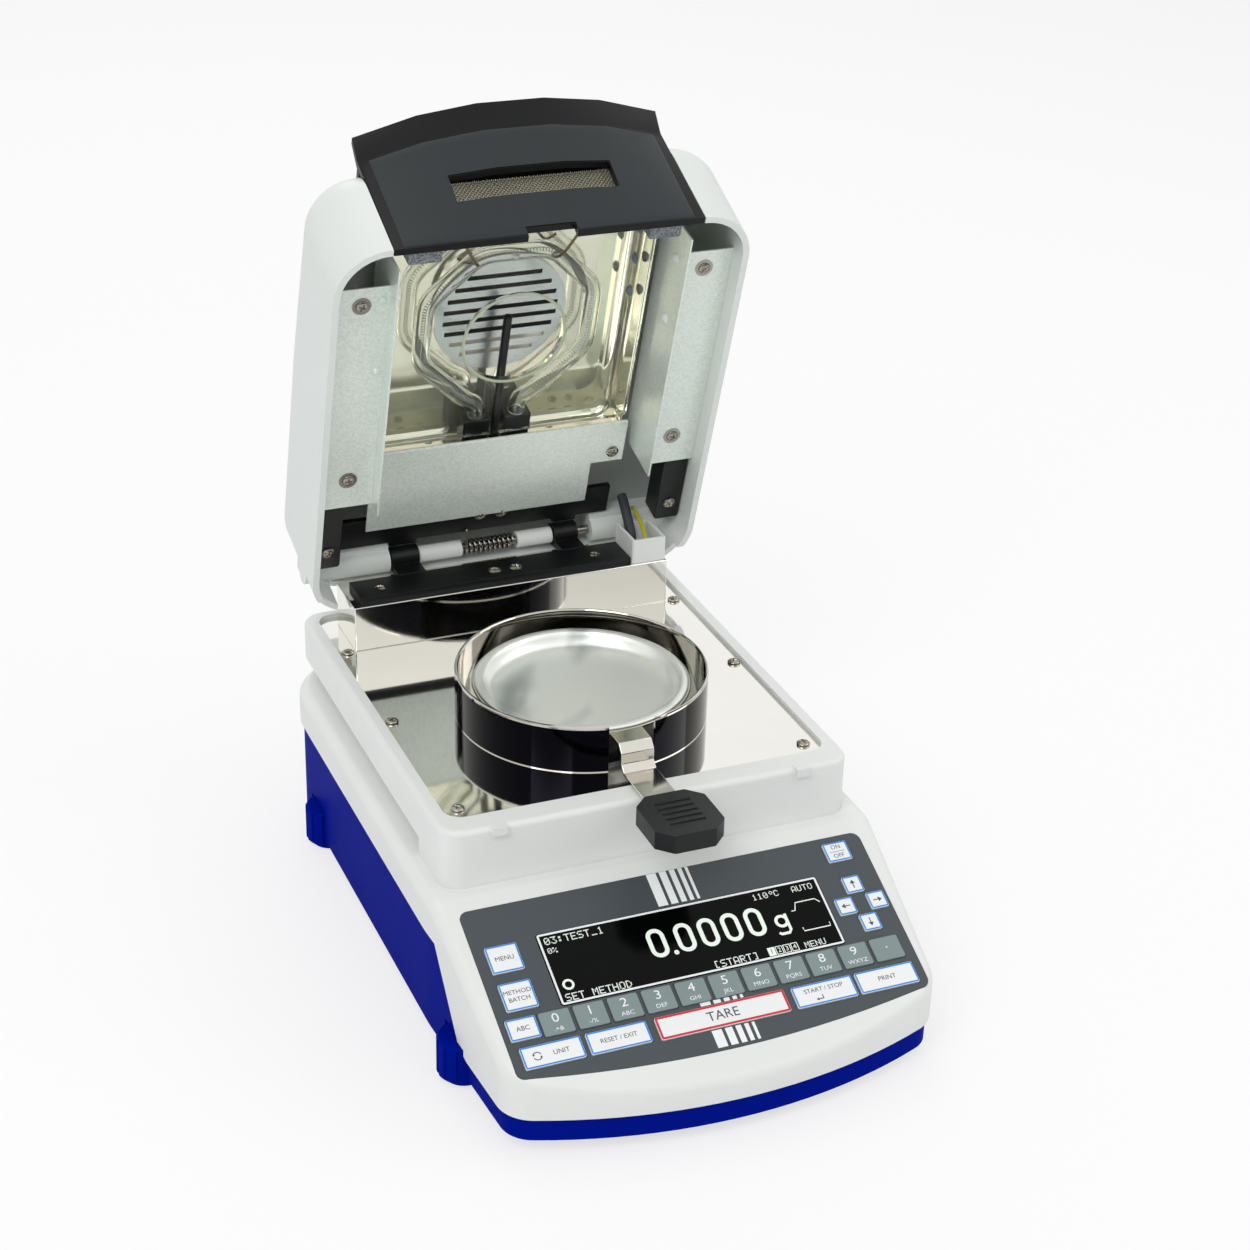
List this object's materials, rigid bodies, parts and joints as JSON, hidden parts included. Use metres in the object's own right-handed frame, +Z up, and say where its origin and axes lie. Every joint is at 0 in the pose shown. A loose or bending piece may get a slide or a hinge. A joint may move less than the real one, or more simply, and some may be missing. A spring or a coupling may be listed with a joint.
{
  "type": "moisture analyzer",
  "caption": "Bench moisture analyzer: hinged white heater hood over a sample pan in a ring wind shield, blue base on levelling feet, sloped keypad with display.",
  "frame": {"origin": "on the table under the middle of the whole instrument with its hood open", "axes": "+Z up, -Y towards the operator, +X the operator's right"},
  "size_m": [0.211, 0.3435, 0.346],
  "materials": {
    "blue_base": "moulded satin",
    "white_housing": "moulded fine matt",
    "console_foil": "printed polyester foil, satin",
    "display_glass": "clear cover over a dark display",
    "white_keys": "printed polyester, satin",
    "grey_keys": "printed polyester, satin",
    "circuit_board": "solder mask",
    "polished_steel": "polished",
    "bright_steel": "drawn and plated",
    "pressed_aluminium": "pressed foil, brushed",
    "machined_aluminium": "machined",
    "black_plastic": "moulded satin",
    "black_visor": "moulded satin",
    "clear_glass": "clear",
    "galvanised_sheet": "galvanised, fine spangle",
    "lamp_ceramic": "moulded",
    "brushed_disc": "brushed"
  },
  "bodies": {
    "base": {"base_tub": "blue_base", "chamber_tray": "white_housing", "display_module": "display_glass", "floor_plate": "polished_steel", "floor_screws": "bright_steel", "hinge_bar": "black_plastic", "hinge_box": "polished_steel", "hinge_rod": "bright_steel", "keypad_board": "circuit_board", "load_cell": "machined_aluminium", "main_board": "circuit_board", "pan_support": "machined_aluminium", "panel_foil": "console_foil", "power_inlet": "black_plastic", "top_housing": "white_housing", "torsion_spring": "bright_steel"},
    "lid": {"hood": "white_housing", "hinge_sleeves": "white_housing", "lid_bar": "black_plastic", "front_visor": "black_visor", "reflector": "polished_steel", "chamber_glass": "clear_glass", "side_plates": "galvanised_sheet", "rear_cover": "galvanised_sheet", "halogen_lamp": "clear_glass", "lamp_sockets": "lamp_ceramic", "temperature_sensor": "black_plastic", "vent_disc": "brushed_disc"},
    "wind_shield": {"wind_shield": "polished_steel"},
    "lifter": {"pan_lifter": "polished_steel", "lifter_grip": "black_plastic"},
    "pan": {"sample_pan": "pressed_aluminium"},
    "foot_front_left": {"foot_front_left": "blue_base"},
    "foot_front_right": {"foot_front_right": "blue_base"},
    "foot_rear_left": {"foot_rear_left": "blue_base"},
    "foot_rear_right": {"foot_rear_right": "blue_base"},
    "key_0": {"key_0": "grey_keys"},
    "key_1": {"key_1": "grey_keys"},
    "key_2": {"key_2": "grey_keys"},
    "key_3": {"key_3": "grey_keys"},
    "key_4": {"key_4": "grey_keys"},
    "key_5": {"key_5": "grey_keys"},
    "key_6": {"key_6": "grey_keys"},
    "key_7": {"key_7": "grey_keys"},
    "key_8": {"key_8": "grey_keys"},
    "key_9": {"key_9": "grey_keys"},
    "key_abc": {"key_abc": "white_keys"},
    "key_dot": {"key_dot": "grey_keys"},
    "key_down": {"key_down": "white_keys"},
    "key_left": {"key_left": "white_keys"},
    "key_menu": {"key_menu": "white_keys"},
    "key_method": {"key_method": "white_keys"},
    "key_on_off": {"key_on_off": "white_keys"},
    "key_print": {"key_print": "white_keys"},
    "key_reset": {"key_reset": "white_keys"},
    "key_right": {"key_right": "white_keys"},
    "key_start": {"key_start": "white_keys"},
    "key_tare": {"key_tare": "white_keys"},
    "key_unit": {"key_unit": "white_keys"},
    "key_up": {"key_up": "white_keys"}
  },
  "joints": [
    {"name": "lid_hinge", "type": "hinge", "parent": "base", "child": "lid", "pos_m": [0, 0.13624, 0.123], "axis": [-1, 0, 0], "range_deg": [-73, 0]},
    {"name": "shield_lift", "type": "slide", "parent": "base", "child": "wind_shield", "axis": [0, 0, 1], "range_m": [0, 0.035]},
    {"name": "lifter_lift", "type": "slide", "parent": "base", "child": "lifter", "axis": [0, 0, 1], "range_m": [0, 0.03]},
    {"name": "pan_lift", "type": "slide", "parent": "lifter", "child": "pan", "axis": [0, 0, 1], "range_m": [0, 0.03]},
    {"name": "foot_front_left_turn", "type": "hinge", "parent": "base", "child": "foot_front_left", "pos_m": [-0.094, -0.09676, 0.01], "axis": [0, 0, 1], "continuous": true},
    {"name": "foot_front_right_turn", "type": "hinge", "parent": "base", "child": "foot_front_right", "pos_m": [0.094, -0.09676, 0.01], "axis": [0, 0, 1], "continuous": true},
    {"name": "foot_rear_left_turn", "type": "hinge", "parent": "base", "child": "foot_rear_left", "pos_m": [-0.094, 0.09624, 0.01], "axis": [0, 0, 1], "continuous": true},
    {"name": "foot_rear_right_turn", "type": "hinge", "parent": "base", "child": "foot_rear_right", "pos_m": [0.094, 0.09624, 0.01], "axis": [0, 0, 1], "continuous": true},
    {"name": "key_0_press", "type": "slide", "parent": "base", "child": "key_0", "axis": [0, -0.4079, 0.913], "range_m": [-0.0004, 0], "stiffness_N_per_m": 1500},
    {"name": "key_1_press", "type": "slide", "parent": "base", "child": "key_1", "axis": [0, -0.4079, 0.913], "range_m": [-0.0004, 0], "stiffness_N_per_m": 1500},
    {"name": "key_2_press", "type": "slide", "parent": "base", "child": "key_2", "axis": [0, -0.4079, 0.913], "range_m": [-0.0004, 0], "stiffness_N_per_m": 1500},
    {"name": "key_3_press", "type": "slide", "parent": "base", "child": "key_3", "axis": [0, -0.4079, 0.913], "range_m": [-0.0004, 0], "stiffness_N_per_m": 1500},
    {"name": "key_4_press", "type": "slide", "parent": "base", "child": "key_4", "axis": [0, -0.4079, 0.913], "range_m": [-0.0004, 0], "stiffness_N_per_m": 1500},
    {"name": "key_5_press", "type": "slide", "parent": "base", "child": "key_5", "axis": [0, -0.4079, 0.913], "range_m": [-0.0004, 0], "stiffness_N_per_m": 1500},
    {"name": "key_6_press", "type": "slide", "parent": "base", "child": "key_6", "axis": [0, -0.4079, 0.913], "range_m": [-0.0004, 0], "stiffness_N_per_m": 1500},
    {"name": "key_7_press", "type": "slide", "parent": "base", "child": "key_7", "axis": [0, -0.4079, 0.913], "range_m": [-0.0004, 0], "stiffness_N_per_m": 1500},
    {"name": "key_8_press", "type": "slide", "parent": "base", "child": "key_8", "axis": [0, -0.4079, 0.913], "range_m": [-0.0004, 0], "stiffness_N_per_m": 1500},
    {"name": "key_9_press", "type": "slide", "parent": "base", "child": "key_9", "axis": [0, -0.4079, 0.913], "range_m": [-0.0004, 0], "stiffness_N_per_m": 1500},
    {"name": "key_abc_press", "type": "slide", "parent": "base", "child": "key_abc", "axis": [0, -0.4079, 0.913], "range_m": [-0.0004, 0], "stiffness_N_per_m": 1500},
    {"name": "key_dot_press", "type": "slide", "parent": "base", "child": "key_dot", "axis": [0, -0.4079, 0.913], "range_m": [-0.0004, 0], "stiffness_N_per_m": 1500},
    {"name": "key_down_press", "type": "slide", "parent": "base", "child": "key_down", "axis": [0, -0.4079, 0.913], "range_m": [-0.0004, 0], "stiffness_N_per_m": 1500},
    {"name": "key_left_press", "type": "slide", "parent": "base", "child": "key_left", "axis": [0, -0.4079, 0.913], "range_m": [-0.0004, 0], "stiffness_N_per_m": 1500},
    {"name": "key_menu_press", "type": "slide", "parent": "base", "child": "key_menu", "axis": [0, -0.4079, 0.913], "range_m": [-0.0004, 0], "stiffness_N_per_m": 1500},
    {"name": "key_method_press", "type": "slide", "parent": "base", "child": "key_method", "axis": [0, -0.4079, 0.913], "range_m": [-0.0004, 0], "stiffness_N_per_m": 1500},
    {"name": "key_on_off_press", "type": "slide", "parent": "base", "child": "key_on_off", "axis": [0, -0.4079, 0.913], "range_m": [-0.0004, 0], "stiffness_N_per_m": 1500},
    {"name": "key_print_press", "type": "slide", "parent": "base", "child": "key_print", "axis": [0, -0.4079, 0.913], "range_m": [-0.0004, 0], "stiffness_N_per_m": 1500},
    {"name": "key_reset_press", "type": "slide", "parent": "base", "child": "key_reset", "axis": [0, -0.4079, 0.913], "range_m": [-0.0004, 0], "stiffness_N_per_m": 1500},
    {"name": "key_right_press", "type": "slide", "parent": "base", "child": "key_right", "axis": [0, -0.4079, 0.913], "range_m": [-0.0004, 0], "stiffness_N_per_m": 1500},
    {"name": "key_start_press", "type": "slide", "parent": "base", "child": "key_start", "axis": [0, -0.4079, 0.913], "range_m": [-0.0004, 0], "stiffness_N_per_m": 1500},
    {"name": "key_tare_press", "type": "slide", "parent": "base", "child": "key_tare", "axis": [0, -0.4079, 0.913], "range_m": [-0.0004, 0], "stiffness_N_per_m": 1500},
    {"name": "key_unit_press", "type": "slide", "parent": "base", "child": "key_unit", "axis": [0, -0.4079, 0.913], "range_m": [-0.0004, 0], "stiffness_N_per_m": 1500},
    {"name": "key_up_press", "type": "slide", "parent": "base", "child": "key_up", "axis": [0, -0.4079, 0.913], "range_m": [-0.0004, 0], "stiffness_N_per_m": 1500}
  ]
}
